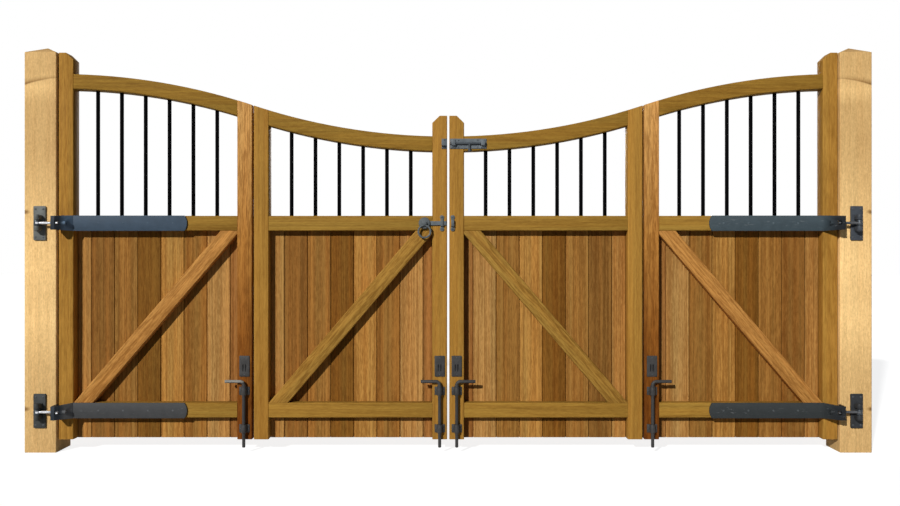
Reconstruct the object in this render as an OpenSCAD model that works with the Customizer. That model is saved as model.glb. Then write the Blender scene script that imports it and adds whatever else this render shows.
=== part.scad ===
// Wooden bi-fold gate: two square posts carry two pairs of framed, boarded leaves.
// Origin at the centre of the left post's foot, at ground level. X runs along the gate,
// Y away from the side with the fastenings, Z up. The right half mirrors the left one.

/* [Posts] */
// Side of the square posts
post_w = 150; // [130:1:200]
// Height of the post shoulders above the ground
post_h = 1880; // [1600:1:2200]
// Rise of the four-sided post tops
post_cap_rise = 36; // [10:1:80]
// Chamfer on the upright arrises of the posts
post_arris = 3; // [1:0.5:8]

/* [Leaves] */
// Width of one leaf
leaf_w = 910; // [800:1:1100]
// Thickness of the leaf frames
leaf_t = 65; // [60:1:75]
// Set-back of the leaf faces behind the post faces
leaf_setback = 10; // [2:1:20]
// Height of the leaf bottoms above the ground
ground_gap = 60; // [45:1:100]
// Gap between a post and its leaf
post_gap = 6; // [6:0.5:12]
// Gap between the two leaves of a half
fold_gap = 8; // [7:0.5:12]
// Gap where the two halves meet
meeting_gap = 10; // [9:0.5:20]

/* [Frame timbers] */
// Width of the stiles
stile_w = 70; // [62:1:80]
// Height of the rails
rail_h = 70; // [62:1:80]
// Height of the hanging stiles
hanging_stile_h = 1820; // [1780:1:2000]
// Height of the meeting stiles
meeting_stile_h = 1523; // [1500:1:1560]
// Width of the sloping cut on the stile tops
stile_cut_w = 35; // [20:1:45]
// Depth of the sloping cut on the stile tops
stile_cut_h = 34; // [20:1:45]
// Height of the lower rail above the leaf bottom
low_rail_rise = 102; // [90:1:130]
// Height of the middle rail above the leaf bottom
mid_rail_rise = 982; // [900:1:1050]
// Height of the swan neck's high end above the leaf bottom
neck_top = 1720; // [1690:1:1740]
// Fall of the swan neck over one leaf
neck_fall = 147; // [100:1:160]
// Chamfer on the arrises of the leaf timbers
timber_arris = 3; // [1:0.5:5]
// Width of the braces
brace_w = 70; // [60:1:80]
// Length of the brace end that bears on the stile
brace_heel = 16; // [8:1:40]

/* [Boards] */
// Thickness of the boards
board_t = 20; // [16:1:24]
// Cover of one board
board_cover = 110; // [90:1:130]
// Cover of the first board beside the post-side stile
board_first = 66; // [40:1:90]
// Half width of the grooves between the boards
board_groove = 3; // [1:0.5:5]
// Part of the middle rail's height that laps the boards
board_lap = 35; // [20:1:45]

/* [Bars] */
// Number of bars in a leaf
bar_count = 6; // [4:1:6]
// Diameter of the bars
bar_d = 18; // [12:1:24]
// Spacing of the bars
bar_pitch = 113; // [90:1:115]
// Depth of the bar ends in the rails
bar_seat = 22; // [10:1:30]
// Clearance round the bar ends
bar_fit = 0.2; // [0.1:0.05:0.5]

/* [Post hinges] */
// Width of the hinge plates on the posts
hinge_plate_w = 57; // [50:1:70]
// Height of the hinge plates on the posts
hinge_plate_h = 160; // [140:1:180]
// Thickness of the hinge plates on the posts
hinge_plate_t = 8; // [5:1:12]
// Corner radius of the hinge plates
hinge_plate_r = 4; // [2:0.5:8]
// Distance of the hinge pin in front of the post face
pin_reach = 32; // [30:1:45]
// Diameter of the hinge pins
pin_d = 14; // [12:0.5:16]
// Clearance between a pin and its eye
pin_fit = 0.3; // [0.2:0.05:0.5]
// Radius of the lugs and of the eye
lug_r = 14; // [13:0.5:17]
// Height of one lug
lug_h = 20; // [16:1:26]
// Height of the eye
eye_h = 24; // [20:1:30]
// Height of the collar between a lug and the eye
pin_collar_h = 4; // [2:0.5:8]
// Rim of the pin's collars and caps
pin_rim = 4; // [2:0.5:6]
// Height of the pin's caps
pin_cap_h = 3; // [2:0.5:6]
// Diameter of the threaded rod
rod_d = 12; // [10:0.5:14]
// Distance of the rod's end inside its boss
rod_inset = 3; // [1:0.5:6]
// Distance from the hinge pin to the strap's head
head_reach = 80; // [70:1:84]
// Distance of the head's nose in front of the rod's axis
head_front = 36; // [30:1:44]
// Distance of the head's flange end behind the rod's axis
head_back = 22; // [14:1:26]
// Width of the head's nose
nose_w = 12; // [8:1:18]
// Height of the strap's head
head_h = 64; // [44:1:72]
// Diameter of the boss that takes the rod's end
rod_boss_d = 18; // [17:0.5:24]
// Length of the boss that takes the rod's end
rod_boss_len = 22; // [18:1:28]
// Width of the window in the strap's crank
window_w = 13; // [8:1:14]
// Height of the window in the strap's crank
window_h = 18; // [12:1:24]
// Height of the straps
strap_h = 72; // [50:1:80]
// Thickness of the straps
strap_t = 8; // [5:1:9]
// Length of the straps on the leaf
strap_reach = 606; // [500:1:700]
// Bulge of the strap's round end
strap_bulge = 12; // [6:1:20]

/* [Fold hinges] */
// Number of hinges at a fold
fold_hinge_count = 3; // [2:1:4]
// Height of one fold hinge
fold_hinge_h = 115; // [100:1:150]
// Width of one hinge flap
fold_flap_w = 58; // [40:1:60]
// Thickness of the hinge flaps
fold_flap_t = 4; // [3:0.5:5]
// Distance of the fold axis behind the leaf
fold_axis_back = 8; // [7.5:0.5:10]
// Radius of the hinge knuckles
knuckle_r = 7; // [6:0.5:7]
// Diameter of the fold hinge pin
fold_pin_d = 7; // [5:0.5:8]
// Height of the lowest fold hinge above the leaf bottom
fold_hinge_low = 130; // [100:1:200]
// Spacing of the fold hinges
fold_hinge_pitch = 590; // [300:1:600]
// Running clearance in the fold hinges
fold_fit = 0.4; // [0.2:0.1:0.6]

/* [Drop bolts] */
// Diameter of the drop bolts
bolt_d = 15; // [12:0.5:18]
// Rim of the stop collar on the bolt
bolt_collar_w = 3; // [2:0.5:5]
// Clearance between the lifted collar and the rest plate
bolt_clear = 1; // [0.5:0.5:3]
// Height of the bolt tip above the ground
bolt_tip_z = 26; // [5:1:40]
// Chamfer on the bolt tip
bolt_tip_cut = 2; // [1:0.5:4]
// Height of the bolt's handle above the leaf bottom
bolt_handle_rise = 275; // [274:1:330]
// Length of the bolt's handle
bolt_handle = 88; // [70:1:110]
// Bend radius of the handle
bolt_bend = 18; // [14:1:24]
// Width of the bolt's guides and rest plate
guide_w = 48; // [44:1:56]
// Height of one guide
guide_h = 38; // [30:1:40]
// Height of the lower guide above the leaf bottom
guide_low_rise = 34; // [20:1:50]
// Height of the upper guide above the leaf bottom
guide_high_rise = 210; // [196:1:212]
// Thickness of the guides and of the rest plate
guide_t = 4; // [3:0.5:5]
// Clearance round the bolt
bolt_fit = 0.4; // [0.2:0.1:0.8]
// Height of the stop collar on the bolt
bolt_collar_h = 8; // [5:1:10]
// Height of the rest plate above the leaf bottom
rest_plate_rise = 296; // [294:1:340]
// Height of the rest plate
rest_plate_h = 98; // [80:1:110]
// Corner radius of the rest plate
rest_plate_r = 4; // [2:0.5:8]
// Width of one slot in the rest plate
rest_slot_w = 6; // [4:0.5:8]
// Height of one slot in the rest plate
rest_slot_h = 33; // [20:1:40]
// Depth of the slots in the rest plate
rest_slot_depth = 2.5; // [1:0.25:2.5]
// Distance between the two slots in the rest plate
rest_slot_gap = 6; // [4:0.5:10]
// Height of the slots above the rest plate's foot
rest_slot_rise = 24; // [14:1:34]

/* [Top bolt] */
// Length of the top bolt's plate
top_plate_len = 175; // [160:1:200]
// Height of the top bolt's plate and keeper
top_plate_h = 47; // [40:1:56]
// Thickness of the top bolt's plate
top_plate_t = 4; // [3:0.5:6]
// Diameter of the top bolt
top_bolt_d = 10; // [8:0.5:12]
// Distance from the meeting edge to the top bolt's knob
top_knob_x = 95; // [85:1:105]
// Length of the top bolt's knob
top_knob_len = 34; // [24:1:40]
// Diameter of the top bolt's knob
top_knob_d = 14; // [12:0.5:18]
// Rim of the top bolt's plate round its staples
top_plate_rim = 4; // [2:0.5:8]
// Distance of the staples from the ends of the top bolt's plate
top_staple_inset = 8; // [4:0.5:14]
// Length of one staple of the top bolt
top_staple_len = 18; // [12:1:22]
// Length of the top bolt's keeper
top_keeper_len = 26; // [20:1:30]
// Clearance of the keepers round what they hold
keeper_fit = 1.5; // [1:0.25:3]

/* [Ring latch] */
// Diameter of the latch rose
rose_d = 55; // [50:1:64]
// Thickness of the latch rose
rose_t = 15; // [14:1:18]
// Chamfer on the rim of the latch rose
rose_cut = 4; // [2:0.5:5]
// Distance from the meeting edge to the rose's centre
rose_x = 106; // [100:1:120]
// Height of the latch bar
latch_bar_h = 19; // [14:1:22]
// Thickness of the latch bar
latch_bar_t = 8; // [5:0.5:9]
// Clearance round the latch bar
latch_fit = 0.5; // [0.3:0.1:0.8]
// Set-back of the latch bar's end inside the rose
latch_bar_inset = 2; // [1:0.5:6]
// Length of the latch staple and of the catch
latch_staple_len = 20; // [16:1:24]
// Height of the latch staple and of the catch
latch_staple_h = 76; // [64:1:90]
// Set-in of the bow between the round ears of the staple and the catch
latch_waist = 3; // [1:0.5:5]
// Distance from the meeting edge to the latch staple
latch_staple_x = 14; // [8:1:20]
// Distance from the meeting edge to the catch
latch_catch_x = 6; // [4:1:10]
// Set-back of the latch bar and the top bolt behind the meeting edge
tip_back = 3; // [1:0.5:6]
// Outer diameter of the ring
ring_d = 66; // [56:1:76]
// Thickness of the ring
ring_t = 9; // [7:0.5:11]
// Diameter of the ring's spindle
spindle_d = 12; // [10:0.5:14]
// Rim of the spindle's head
spindle_rim = 3; // [2:0.5:5]
// Height of the spindle's head
spindle_cap_h = 4; // [3:0.5:6]
// Wall of the ring's hub
hub_wall = 7; // [5:0.5:9]

/* [Hidden] */
$fn = 48;
arc_fn = 1440;
screw_clear = 0.3;
iron_t = 4;
lap = 1;

// Places along the gate
outer_x = post_w / 2 + post_gap;
inner_x = outer_x + leaf_w + fold_gap;
fold_x = outer_x + leaf_w + fold_gap / 2;
meet_x = inner_x + leaf_w;
mid_x = meet_x + meeting_gap / 2;
right_edge = meet_x + meeting_gap;

// Places across the gate
face_y = -post_w / 2 + leaf_setback;
back_y = face_y + leaf_t;
board_y = back_y - board_t;
pin_y = -post_w / 2 - pin_reach;
fold_y = back_y + fold_axis_back;

// Heights
leaf_z = ground_gap;
low_rail_z = leaf_z + low_rail_rise;
mid_rail_z = leaf_z + mid_rail_rise;
mid_top_z = mid_rail_z + rail_h;
neck_high_z = leaf_z + neck_top;
neck_low_z = neck_high_z - 2 * neck_fall;
low_hinge_z = low_rail_z + rail_h / 2;
mid_hinge_z = mid_rail_z + rail_h / 2;
latch_z = mid_rail_z + rail_h / 2;
top_bolt_z = neck_low_z - rail_h / 2;

// The swan neck is two equal arcs that meet in line at the fold
neck_run = leaf_w + fold_gap / 2;
neck_r = (neck_run * neck_run + neck_fall * neck_fall) / (2 * neck_fall);
neck_sweep = asin(leaf_w / (neck_r - rail_h));

// Brace geometry in the opening between the rails
open_w = leaf_w - 2 * stile_w;
open_h = mid_rail_rise - low_rail_rise - rail_h;
brace_len = sqrt(open_w * open_w + (open_h - brace_heel) * (open_h - brace_heel));
brace_a = atan2(open_h - brace_heel, open_w) + asin(brace_w / brace_len);

// Centre line of a strap in plan: flange, nose, crank and band
bend_x = outer_x + stile_w;
strap_end_x = outer_x + strap_reach;
flange_x = head_reach + strap_t / 2;
nose_x = flange_x + nose_w;
nose_y = pin_y - head_front + strap_t / 2;
band_y = face_y - strap_t / 2;
strap_path = [
  [flange_x, pin_y + head_back], [flange_x, nose_y], [nose_x, nose_y], [bend_x, band_y], [strap_end_x, band_y]
];
crank_x = nose_x + (bend_x - nose_x) * (pin_y - nose_y) / (band_y - nose_y);
rod_boss_x = crank_x - rod_boss_len / 3;
rod_end = rod_boss_x + rod_boss_len - rod_inset;
window_x = nose_x + window_w / 2 + lap;

bar_r = bar_d / 2;
bar_y = face_y + leaf_t / 2;
bolt_r = bolt_d / 2;
bolt_off = guide_t + bolt_clear + bolt_collar_w + bolt_r;
bolt_y = face_y - bolt_off;
top_bolt_off = top_plate_t + latch_fit + top_bolt_d / 2;
top_bolt_y = face_y - top_bolt_off;
ring_gap = 0.5;
hub_r = spindle_d / 2 + hub_wall;
ring_mid_r = (ring_d - ring_t) / 2;
ring_drop = hub_r + ring_mid_r - ring_t / 4;

post_colour = [0.84, 0.69, 0.46];
stile_colour = [0.66, 0.49, 0.24];
rail_colour = [0.60, 0.45, 0.20];
brace_colour = [0.70, 0.49, 0.27];
board_colour = [0.57, 0.39, 0.20];
bar_colour = [0.05, 0.05, 0.05];
iron_colour = [0.27, 0.30, 0.33];
zinc_colour = [0.75, 0.76, 0.78];

// Height of the lower edge of the swan neck's rail
function neck_under(leaf, x) =
  leaf == "outer"
    ? neck_high_z - neck_r + sqrt(pow(neck_r - rail_h, 2) - pow(x - outer_x, 2))
    : neck_low_z + neck_r - sqrt(pow(neck_r + rail_h, 2) - pow(meet_x - x, 2));

function leaf_x0(leaf) = leaf == "outer" ? outer_x : inner_x;
function bar_x(leaf, i) = leaf_x0(leaf) + leaf_w / 2 + (i - (bar_count - 1) / 2) * bar_pitch;
function bolt_x(leaf) = leaf_x0(leaf) + leaf_w - stile_w / 2;

// A path's outline at a given thickness, with mitred corners
function unit(v) = v / norm(v);
function left_of(v) = [-v[1], v[0]];
function step(path, i) = left_of(unit(path[i + 1] - path[i]));
function corner(u, v) = (u + v) / (1 + u * v);
function beside(path, d) =
  let (n = len(path) - 1)
  [for (i = [0 : n]) path[i] + d * corner(step(path, max(i - 1, 0)), step(path, min(i, n - 1)))];
function reversed(list) = [for (i = [len(list) - 1 : -1 : 0]) list[i]];
function band(path, t) = concat(beside(path, t / 2), reversed(beside(path, -t / 2)));

// Draws its child in place, or mirrored into the right half
module half(side) {
  if (side == "right")
    translate([2 * mid_x, 0, 0]) mirror([1, 0, 0]) children();
  else
    children();
}

// Thickens an X-Z outline from one Y plane backwards
module upright(y, depth) {
  translate([0, y + depth, 0]) rotate([90, 0, 0]) linear_extrude(depth) children();
}

// Thickens a Y-Z outline from one X plane to the right
module lengthwise(x, len) {
  translate([x, 0, 0]) rotate([90, 0, 90]) linear_extrude(len) children();
}

// Rectangle with chamfered corners
module eased(w, d, a) {
  polygon([[a, 0], [w - a, 0], [w, a], [w, d - a], [w - a, d], [a, d], [0, d - a], [0, a]]);
}

// Rectangle about the origin with round corners
module rounded(w, h, r) {
  square([w - 2 * r, h], center = true);
  square([w, h - 2 * r], center = true);
  for (x = [-1, 1], y = [-1, 1]) translate([x * (w / 2 - r), y * (h / 2 - r)]) circle(r);
}

// Square post with chamfered arrises and a four-sided top
module post() {
  half_w = post_w / 2;
  top_z = post_h + post_cap_rise;
  gable = [[-half_w, 0], [half_w, 0], [half_w, post_h], [0, top_z], [-half_w, post_h]];
  intersection() {
    translate([-half_w, -half_w, 0]) linear_extrude(top_z) eased(post_w, post_w, post_arris);
    upright(-half_w, post_w) polygon(gable);
    lengthwise(-half_w, post_w) polygon(gable);
  }
}

// Everything of a leaf under the swan neck's upper edge
module under_neck(leaf) {
  x0 = leaf_x0(leaf);
  if (leaf == "outer")
    intersection() {
      translate([outer_x, neck_high_z - neck_r]) circle(neck_r, $fn = arc_fn);
      translate([x0, 0]) square([leaf_w, neck_high_z]);
    }
  else
    difference() {
      translate([x0, 0]) square([leaf_w, neck_high_z]);
      translate([meet_x, neck_low_z + neck_r]) circle(neck_r, $fn = arc_fn);
    }
}

// Tall stile whose top slopes away from its outer edge, at x = 0
module tall_stile(h) {
  polygon([
    [0, leaf_z], [stile_w, leaf_z], [stile_w, leaf_z + h - stile_cut_h],
    [stile_w - stile_cut_w, leaf_z + h], [0, leaf_z + h]
  ]);
}

// Stile that ends at the swan neck, with its left edge at x
module fold_stile(leaf, x) {
  intersection() {
    translate([x, leaf_z]) square([stile_w, neck_high_z]);
    under_neck(leaf);
  }
}

// Front outlines of a leaf's two stiles
module stile_outlines(leaf) {
  x0 = leaf_x0(leaf);
  if (leaf == "outer") {
    translate([x0, 0]) tall_stile(hanging_stile_h);
    fold_stile(leaf, x0 + leaf_w - stile_w);
  } else {
    fold_stile(leaf, x0);
    translate([meet_x, 0]) mirror([1, 0]) tall_stile(meeting_stile_h);
  }
}

// Stiles with eased arrises, cut to their outlines
module stiles(leaf) {
  x0 = leaf_x0(leaf);
  intersection() {
    for (x = [x0, x0 + leaf_w - stile_w]) translate([x, face_y, leaf_z])
      linear_extrude(hanging_stile_h) eased(stile_w, leaf_t, timber_arris);
    upright(face_y, leaf_t) stile_outlines(leaf);
  }
}

// Curved top rail: an eased section swept round the neck's centre and cut between the stiles
module neck_rail(leaf) {
  outer = leaf == "outer";
  centre = outer ? [outer_x, 0, neck_high_z - neck_r] : [meet_x, 0, neck_low_z + neck_r];
  turn = (outer ? 90 : 270) - neck_sweep;
  r = outer ? neck_r - rail_h : neck_r;
  intersection() {
    translate(centre) rotate([90, 0, 0]) rotate([0, 0, turn]) rotate_extrude(angle = neck_sweep, $fn = arc_fn)
      translate([r, -back_y]) eased(rail_h, leaf_t, timber_arris);
    translate([leaf_x0(leaf) + stile_w, face_y, 0]) cube([open_w, leaf_t, neck_high_z]);
  }
}

// The bars of one leaf, from seat to seat, grown by a clearance
module bar_set(leaf, fit) {
  for (i = [0 : bar_count - 1]) {
    x = bar_x(leaf, i);
    z0 = mid_top_z - bar_seat;
    z1 = neck_under(leaf, x) + bar_seat;
    translate([x, bar_y, z0 - fit]) cylinder(r = bar_r + fit, h = z1 - z0 + 2 * fit);
  }
}

// Section of the middle rail, rebated behind for the board tops
module mid_rail_section() {
  a = timber_arris;
  lap_z = mid_rail_z + board_lap;
  polygon([
    [face_y + a, mid_rail_z], [face_y, mid_rail_z + a], [face_y, mid_top_z - a], [face_y + a, mid_top_z],
    [back_y - a, mid_top_z], [back_y, mid_top_z - a], [back_y, lap_z], [board_y, lap_z], [board_y, mid_rail_z]
  ]);
}

// Section of a timber that lies in front of the boards
module front_section(z, h) {
  a = timber_arris;
  polygon([
    [face_y + a, z], [face_y, z + a], [face_y, z + h - a], [face_y + a, z + h], [board_y, z + h], [board_y, z]
  ]);
}

module rails(leaf) {
  x = leaf_x0(leaf) + stile_w;
  difference() {
    union() {
      neck_rail(leaf);
      lengthwise(x, open_w) mid_rail_section();
    }
    bar_set(leaf, bar_fit);
  }
  lengthwise(x, open_w) front_section(low_rail_z, rail_h);
}

// Brace from the post-side foot up to the centre-side stile, cut to rails and stiles
module brace(leaf) {
  x0 = leaf_x0(leaf) + stile_w;
  z0 = low_rail_z + rail_h;
  intersection() {
    translate([x0, 0, z0]) rotate([0, -brace_a, 0])
      lengthwise(-brace_w, brace_len + 2 * brace_w) front_section(-brace_w, brace_w);
    translate([x0, face_y, z0]) cube([open_w, leaf_t - board_t, open_h]);
  }
}

// Boarding with a V groove on both faces at every joint
module boards(leaf) {
  x0 = leaf_x0(leaf) + stile_w;
  x1 = x0 + open_w;
  joints = [for (x = x0 + board_first; x < x1 - board_groove; x = x + board_cover) x];
  front = [for (x = joints, s = [-1, 0, 1]) [x + s * board_groove, board_y + (s == 0 ? board_groove : 0)]];
  back = [for (x = joints, s = [-1, 0, 1]) [x + s * board_groove, back_y - (s == 0 ? board_groove : 0)]];
  outline = concat([[x0, board_y]], front, [[x1, board_y], [x1, back_y]], reversed(back), [[x0, back_y]]);
  translate([0, 0, leaf_z]) linear_extrude(mid_rail_rise + board_lap) polygon(outline);
}

// Post plate with two lugs and the upright hinge pin
module hinge_bracket() {
  eye_top = eye_h / 2 + screw_clear;
  collar_top = eye_top + pin_collar_h;
  lug_top = collar_top + lug_h;
  upright(-post_w / 2 - hinge_plate_t, hinge_plate_t) rounded(hinge_plate_w, hinge_plate_h, hinge_plate_r);
  for (s = [0, 1]) mirror([0, 0, s]) {
    translate([0, 0, collar_top]) linear_extrude(lug_h) {
      translate([0, pin_y]) circle(lug_r);
      translate([-lug_r, pin_y]) square([2 * lug_r, pin_reach - hinge_plate_t / 2]);
    }
    translate([0, pin_y, eye_top]) cylinder(r = pin_d / 2 + pin_rim, h = pin_collar_h);
    translate([0, pin_y, lug_top]) cylinder(r = pin_d / 2 + pin_rim, h = pin_cap_h);
  }
  translate([0, pin_y, -collar_top]) cylinder(d = pin_d, h = 2 * collar_top);
}

module hinge_brackets() {
  for (z = [low_hinge_z, mid_hinge_z]) translate([0, 0, z]) hinge_bracket();
}

// Eye on the pin, with the threaded rod that runs through the strap's head
module hinge_eye() {
  difference() {
    union() {
      translate([0, pin_y, -eye_h / 2]) cylinder(r = lug_r, h = eye_h);
      translate([0, pin_y, 0]) rotate([0, 90, 0]) cylinder(d = rod_d, h = rod_end);
    }
    translate([0, pin_y, -eye_h]) cylinder(d = pin_d + 2 * pin_fit, h = 2 * eye_h);
  }
}

module hinge_eyes() {
  for (z = [low_hinge_z, mid_hinge_z]) translate([0, 0, z]) hinge_eye();
}

// Front outline of a strap: a lower head that widens to the band with its round end
module strap_outline() {
  half_h = strap_h / 2;
  square_x = strap_end_x - strap_bulge;
  end_r = (half_h * half_h + strap_bulge * strap_bulge) / (2 * strap_bulge);
  for (s = [0, 1]) mirror([0, s]) polygon([
    [head_reach - lap, 0], [head_reach - lap, head_h / 2], [nose_x, head_h / 2], [bend_x, half_h],
    [square_x, half_h], [square_x, 0]
  ]);
  intersection() {
    translate([strap_end_x - end_r, 0]) circle(end_r);
    translate([bend_x, -half_h]) square([strap_reach, strap_h]);
  }
}

// Strap: flanged head with a boss for the rod, crank over the hanging stile, flat band on the leaf
module strap() {
  front_y = pin_y - head_front;
  difference() {
    union() {
      intersection() {
        translate([0, 0, -strap_h / 2]) linear_extrude(strap_h) polygon(band(strap_path, strap_t));
        upright(front_y, face_y - front_y) strap_outline();
      }
      translate([rod_boss_x, pin_y, 0]) rotate([0, 90, 0]) cylinder(d = rod_boss_d, h = rod_boss_len);
    }
    translate([head_reach - lap, pin_y, 0]) rotate([0, 90, 0])
      cylinder(d = rod_d + 2 * screw_clear, h = rod_boss_x + rod_boss_len - head_reach + 2 * lap);
    translate([window_x, 0, 0]) upright(front_y - lap, head_front) rounded(window_w, window_h, window_w / 3);
  }
}

module straps() {
  for (z = [low_hinge_z, mid_hinge_z]) translate([0, 0, z]) strap();
}

// One half of a fold hinge; the outer half holds the pin
module fold_flap(leaf) {
  pieces = 5;
  seg = fold_hinge_h / pieces;
  s = leaf == "outer" ? -1 : 1;
  first = leaf == "outer" ? 0 : 1;
  root_x = knuckle_r + fold_fit;
  difference() {
    union() {
      translate([s > 0 ? root_x : -fold_flap_w - fold_gap / 2, 0, 0])
        cube([fold_flap_w + fold_gap / 2 - root_x, fold_flap_t, fold_hinge_h]);
      for (i = [first : 2 : pieces - 1]) translate([0, 0, i * seg + fold_fit / 2]) {
        translate([s > 0 ? 0 : -root_x - lap, 0, 0]) cube([root_x + lap, fold_flap_t, seg - fold_fit]);
        translate([0, fold_axis_back, 0]) cylinder(r = knuckle_r, h = seg - fold_fit);
      }
      if (leaf == "outer") translate([0, fold_axis_back, 0]) cylinder(d = fold_pin_d, h = fold_hinge_h);
    }
    if (leaf == "inner") translate([0, fold_axis_back, -lap])
      cylinder(d = fold_pin_d + 2 * fold_fit, h = fold_hinge_h + 2 * lap);
  }
}

module fold_flaps(leaf) {
  for (i = [0 : fold_hinge_count - 1])
    translate([fold_x, back_y, leaf_z + fold_hinge_low + i * fold_hinge_pitch]) fold_flap(leaf);
}

// Plan of a drop bolt guide: two ears and a bow round the bolt
module guide_plan() {
  bow_r = bolt_r + bolt_fit + guide_t;
  difference() {
    union() {
      translate([-guide_w / 2, -guide_t]) square([guide_w, guide_t]);
      translate([-bow_r, -bolt_off]) square([2 * bow_r, bolt_off]);
      translate([0, -bolt_off]) circle(bow_r);
    }
    translate([0, -bolt_off]) circle(bolt_r + bolt_fit);
  }
}

// Rest plate with two blind slots, about its centre and in front of y = 0
module rest_plate() {
  slot_z = rest_slot_rise + rest_slot_h / 2 - rest_plate_h / 2;
  slot_x = (rest_slot_gap + rest_slot_w) / 2;
  difference() {
    upright(-guide_t, guide_t) rounded(guide_w, rest_plate_h, rest_plate_r);
    for (s = [-1, 1]) translate([s * slot_x, 0, slot_z])
      upright(-guide_t - lap, rest_slot_depth + lap) square([rest_slot_w, rest_slot_h], center = true);
  }
}

// Two guides and the rest plate of a drop bolt
module bolt_guides(leaf) {
  translate([bolt_x(leaf), face_y, leaf_z]) {
    for (z = [guide_low_rise, guide_high_rise]) translate([0, 0, z]) linear_extrude(guide_h) guide_plan();
    translate([0, 0, rest_plate_rise + rest_plate_h / 2]) rest_plate();
  }
}

// Drop bolt: rod with a stop collar and a bent handle towards the post
module drop_bolt(leaf) {
  handle_z = leaf_z + bolt_handle_rise;
  rod_z = bolt_tip_z + bolt_tip_cut;
  translate([bolt_x(leaf), bolt_y, 0]) {
    translate([0, 0, bolt_tip_z]) cylinder(r1 = bolt_r - bolt_tip_cut, r2 = bolt_r, h = bolt_tip_cut);
    translate([0, 0, rod_z]) cylinder(r = bolt_r, h = handle_z - bolt_bend - rod_z);
    translate([0, 0, leaf_z + guide_high_rise + guide_h + screw_clear])
      cylinder(r = bolt_r + bolt_collar_w, h = bolt_collar_h);
    translate([-bolt_bend, 0, handle_z - bolt_bend]) rotate([90, 0, 0])
      rotate_extrude(angle = 90) translate([bolt_bend, 0]) circle(bolt_r);
    translate([-bolt_bend, 0, handle_z]) rotate([0, -90, 0])
      cylinder(r = bolt_r, h = bolt_handle - bolt_bend);
  }
}

// Staple outline across its length: two ears and a square bow over a passage that starts at the seat
module staple_outline(h, pass_h, pass_d) {
  difference() {
    union() {
      translate([-iron_t, -h / 2]) square([iron_t, h]);
      translate([-pass_d - iron_t, -pass_h / 2 - iron_t]) square([pass_d + iron_t, pass_h + 2 * iron_t]);
    }
    translate([-pass_d, -pass_h / 2]) square([pass_d + lap, pass_h]);
  }
}

// Staple along X, from x, seated at plane y, centred on height z
module staple(x, len, y, z, h, pass_h, pass_d) {
  translate([0, y, z]) lengthwise(x, len) staple_outline(h, pass_h, pass_d);
}

// Staple of the ring latch: round ears beside a narrower bow
module eared_staple(x, pass_h, pass_d) {
  depth = pass_d + iron_t;
  ear_r = latch_staple_len / 2;
  ear_z = latch_staple_h / 2 - ear_r;
  intersection() {
    staple(x, latch_staple_len, face_y, latch_z, latch_staple_h, pass_h, pass_d);
    translate([x, 0, latch_z]) upright(face_y - depth, depth) {
      for (s = [-1, 1]) translate([ear_r, s * ear_z]) circle(ear_r);
      translate([latch_waist, -ear_z]) square([latch_staple_len - 2 * latch_waist, 2 * ear_z]);
    }
  }
}

// Plate with two staples for the top bolt, on the right inner leaf
module top_bolt_plate_shape() {
  pass = top_bolt_d + 2 * latch_fit;
  depth = top_bolt_d + 2 * latch_fit;
  seat_y = face_y - top_plate_t;
  translate([right_edge + tip_back, seat_y, top_bolt_z - top_plate_h / 2])
    cube([top_plate_len - tip_back, top_plate_t, top_plate_h]);
  for (x = [tip_back + top_staple_inset, top_plate_len - top_staple_len - top_staple_inset])
    staple(right_edge + x, top_staple_len, seat_y, top_bolt_z, top_plate_h - 2 * top_plate_rim, pass, depth);
}

module top_bolt_shape() {
  bolt_len = top_plate_len - 2 * tip_back;
  translate([right_edge + tip_back, top_bolt_y, top_bolt_z]) rotate([0, 90, 0])
    cylinder(d = top_bolt_d, h = bolt_len);
  translate([right_edge + top_knob_x, top_bolt_y, top_bolt_z - top_knob_len]) {
    cylinder(d = top_bolt_d, h = top_knob_len);
    translate([0, 0, -top_bolt_d / 2]) cylinder(d = top_knob_d, h = top_bolt_d);
  }
}

module top_bolt_keeper_shape() {
  pass = top_bolt_d + 2 * keeper_fit;
  depth = top_bolt_off + top_bolt_d / 2 + keeper_fit;
  staple(meet_x - top_keeper_len, top_keeper_len, face_y, top_bolt_z, top_plate_h, pass, depth);
}

// Round housing with a passage for the bar and the ring's spindle, and the guiding staple
module latch_rose_shape() {
  pass_h = latch_bar_h + 2 * latch_fit;
  pass_d = latch_bar_t + 2 * latch_fit;
  spindle_len = ring_t + 2 * ring_gap;
  translate([meet_x - rose_x, face_y, latch_z]) rotate([90, 0, 0]) {
    difference() {
      rotate_extrude() polygon([
        [0, 0], [rose_d / 2, 0], [rose_d / 2, rose_t - rose_cut], [rose_d / 2 - rose_cut, rose_t], [0, rose_t]
      ]);
      translate([-rose_d, -pass_h / 2, -lap]) cube([2 * rose_d, pass_h, pass_d + lap]);
    }
    translate([0, 0, rose_t]) cylinder(d = spindle_d, h = spindle_len);
    translate([0, 0, rose_t + spindle_len]) cylinder(r = spindle_d / 2 + spindle_rim, h = spindle_cap_h);
  }
  eared_staple(meet_x - latch_staple_x - latch_staple_len, pass_h, pass_d);
}

module latch_bar_shape() {
  bar_end = rose_x + rose_d / 2 - latch_bar_inset;
  translate([meet_x - bar_end, face_y - latch_fit - latch_bar_t, latch_z - latch_bar_h / 2])
    cube([bar_end - tip_back, latch_bar_t, latch_bar_h]);
}

// Ring with its hub on the spindle
module latch_ring_shape() {
  translate([meet_x - rose_x, face_y - rose_t - ring_gap, latch_z]) rotate([90, 0, 0]) difference() {
    union() {
      cylinder(r = hub_r, h = ring_t);
      translate([0, -ring_drop, ring_t / 2]) rotate_extrude() translate([ring_mid_r, 0]) circle(d = ring_t);
    }
    translate([0, 0, -lap]) cylinder(d = spindle_d + 2 * pin_fit, h = ring_t + 2 * lap);
  }
}

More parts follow.
